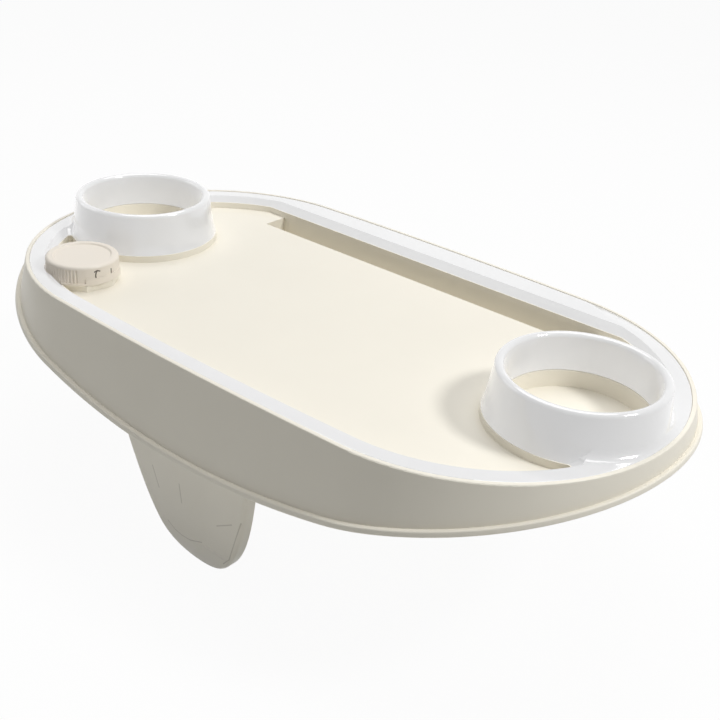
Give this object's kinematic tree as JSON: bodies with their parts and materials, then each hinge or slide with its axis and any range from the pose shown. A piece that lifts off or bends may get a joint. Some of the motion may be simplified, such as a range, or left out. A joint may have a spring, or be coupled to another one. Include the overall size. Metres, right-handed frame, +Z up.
{
  "type": "hot tub tray",
  "caption": "Oval tray on two tongue legs that straddle a tub wall, with cup collars at both ends, a tablet slot, a light rim and a round battery cap.",
  "frame": {"origin": "middle of the flat underside of the base cover, where the tray rests on the tub wall", "axes": "+X along the tray, -Y towards the front where the battery cap is, +Z up"},
  "size_m": [0.4814, 0.2852, 0.1676],
  "materials": {
    "body_plastic": "satin",
    "diffuser_plastic": "frosted, translucent",
    "leg_plastic": "satin",
    "cap_plastic": "satin",
    "screw_steel": "bright",
    "seal_rubber": "matt",
    "spring_steel": "bright",
    "board_laminate": "matt",
    "chip_plastic": "matt",
    "light_plastic": "glossy",
    "strip_film": "matt",
    "lead_sleeve": "satin",
    "cell_can": "gloss"
  },
  "bodies": {
    "tray": {"tray_body": "body_plastic", "light_diffuser": "diffuser_plastic", "light_strip": "strip_film", "light_sources": "light_plastic", "front_leg": "leg_plastic", "rear_leg": "leg_plastic", "front_leg_screws": "screw_steel", "rear_leg_screws": "screw_steel", "base_cover": "body_plastic", "cover_gasket": "seal_rubber", "base_cover_screws": "screw_steel", "contact_board": "board_laminate", "driver_board": "board_laminate", "driver_chip": "chip_plastic", "battery_leads": "lead_sleeve", "strip_lead": "lead_sleeve", "rim_grommet": "seal_rubber", "battery_cell_1": "cell_can", "battery_cell_2": "cell_can", "battery_cell_3": "cell_can", "contact_leaf_1": "spring_steel", "contact_leaf_2": "spring_steel", "contact_leaf_3": "spring_steel"},
    "cap": {"battery_cap": "cap_plastic", "cap_seal": "seal_rubber", "cap_contact_plate": "spring_steel"}
  },
  "joints": [
    {"name": "cap_turn", "type": "hinge", "parent": "tray", "child": "cap", "pos_m": [-0.147, -0.0825, 0.0605], "axis": [0, 0, 1], "range_deg": [0, 60]}
  ]
}
